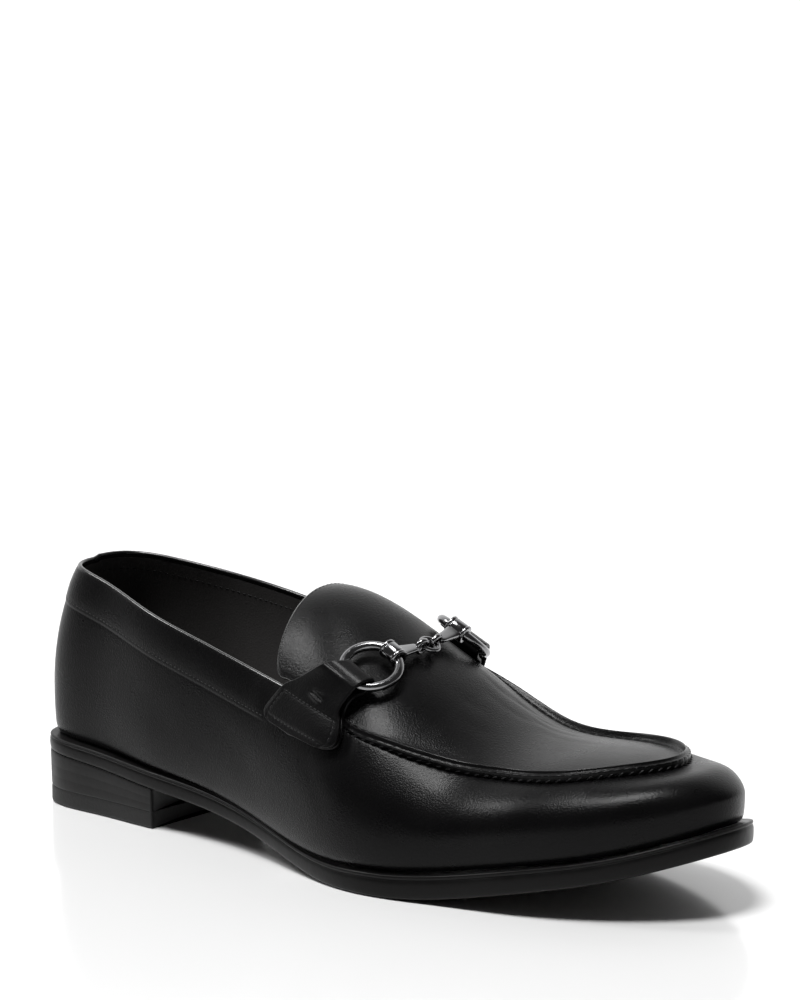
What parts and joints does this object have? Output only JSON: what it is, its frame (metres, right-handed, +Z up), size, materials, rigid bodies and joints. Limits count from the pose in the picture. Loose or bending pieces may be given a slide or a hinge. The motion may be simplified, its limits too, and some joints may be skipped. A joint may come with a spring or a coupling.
{
  "type": "bit loafer",
  "caption": "Black leather slip-on loafer with a raised apron seam, a long tongue, a hollow upper, a low stacked heel and a dark metal bit across the instep.",
  "frame": {"origin": "on the floor, under the middle of the shoe's length and width", "axes": "+X from heel to toe, +Y to the inner side, +Z up"},
  "size_m": [0.3, 0.1052, 0.0924],
  "materials": {
    "sole": "black edge dressing, satin",
    "heel": "black edge dressing, satin",
    "lift": "black, matt",
    "upper": "black leather with a satin shine",
    "insole": "dark lining leather, matt",
    "tabs": "black leather with a satin shine",
    "bit": "polished gunmetal"
  },
  "bodies": {
    "root": {"outsole": "sole", "heel_block": "heel", "top_lift": "lift", "upper": "upper", "insole": "insole", "strap_lateral": "tabs", "strap_medial": "tabs", "bit_bar_lateral": "bit", "bit_bar_medial": "bit", "bit_link": "bit", "bit_ring_lateral": "bit", "bit_ring_medial": "bit"}
  },
  "joints": []
}
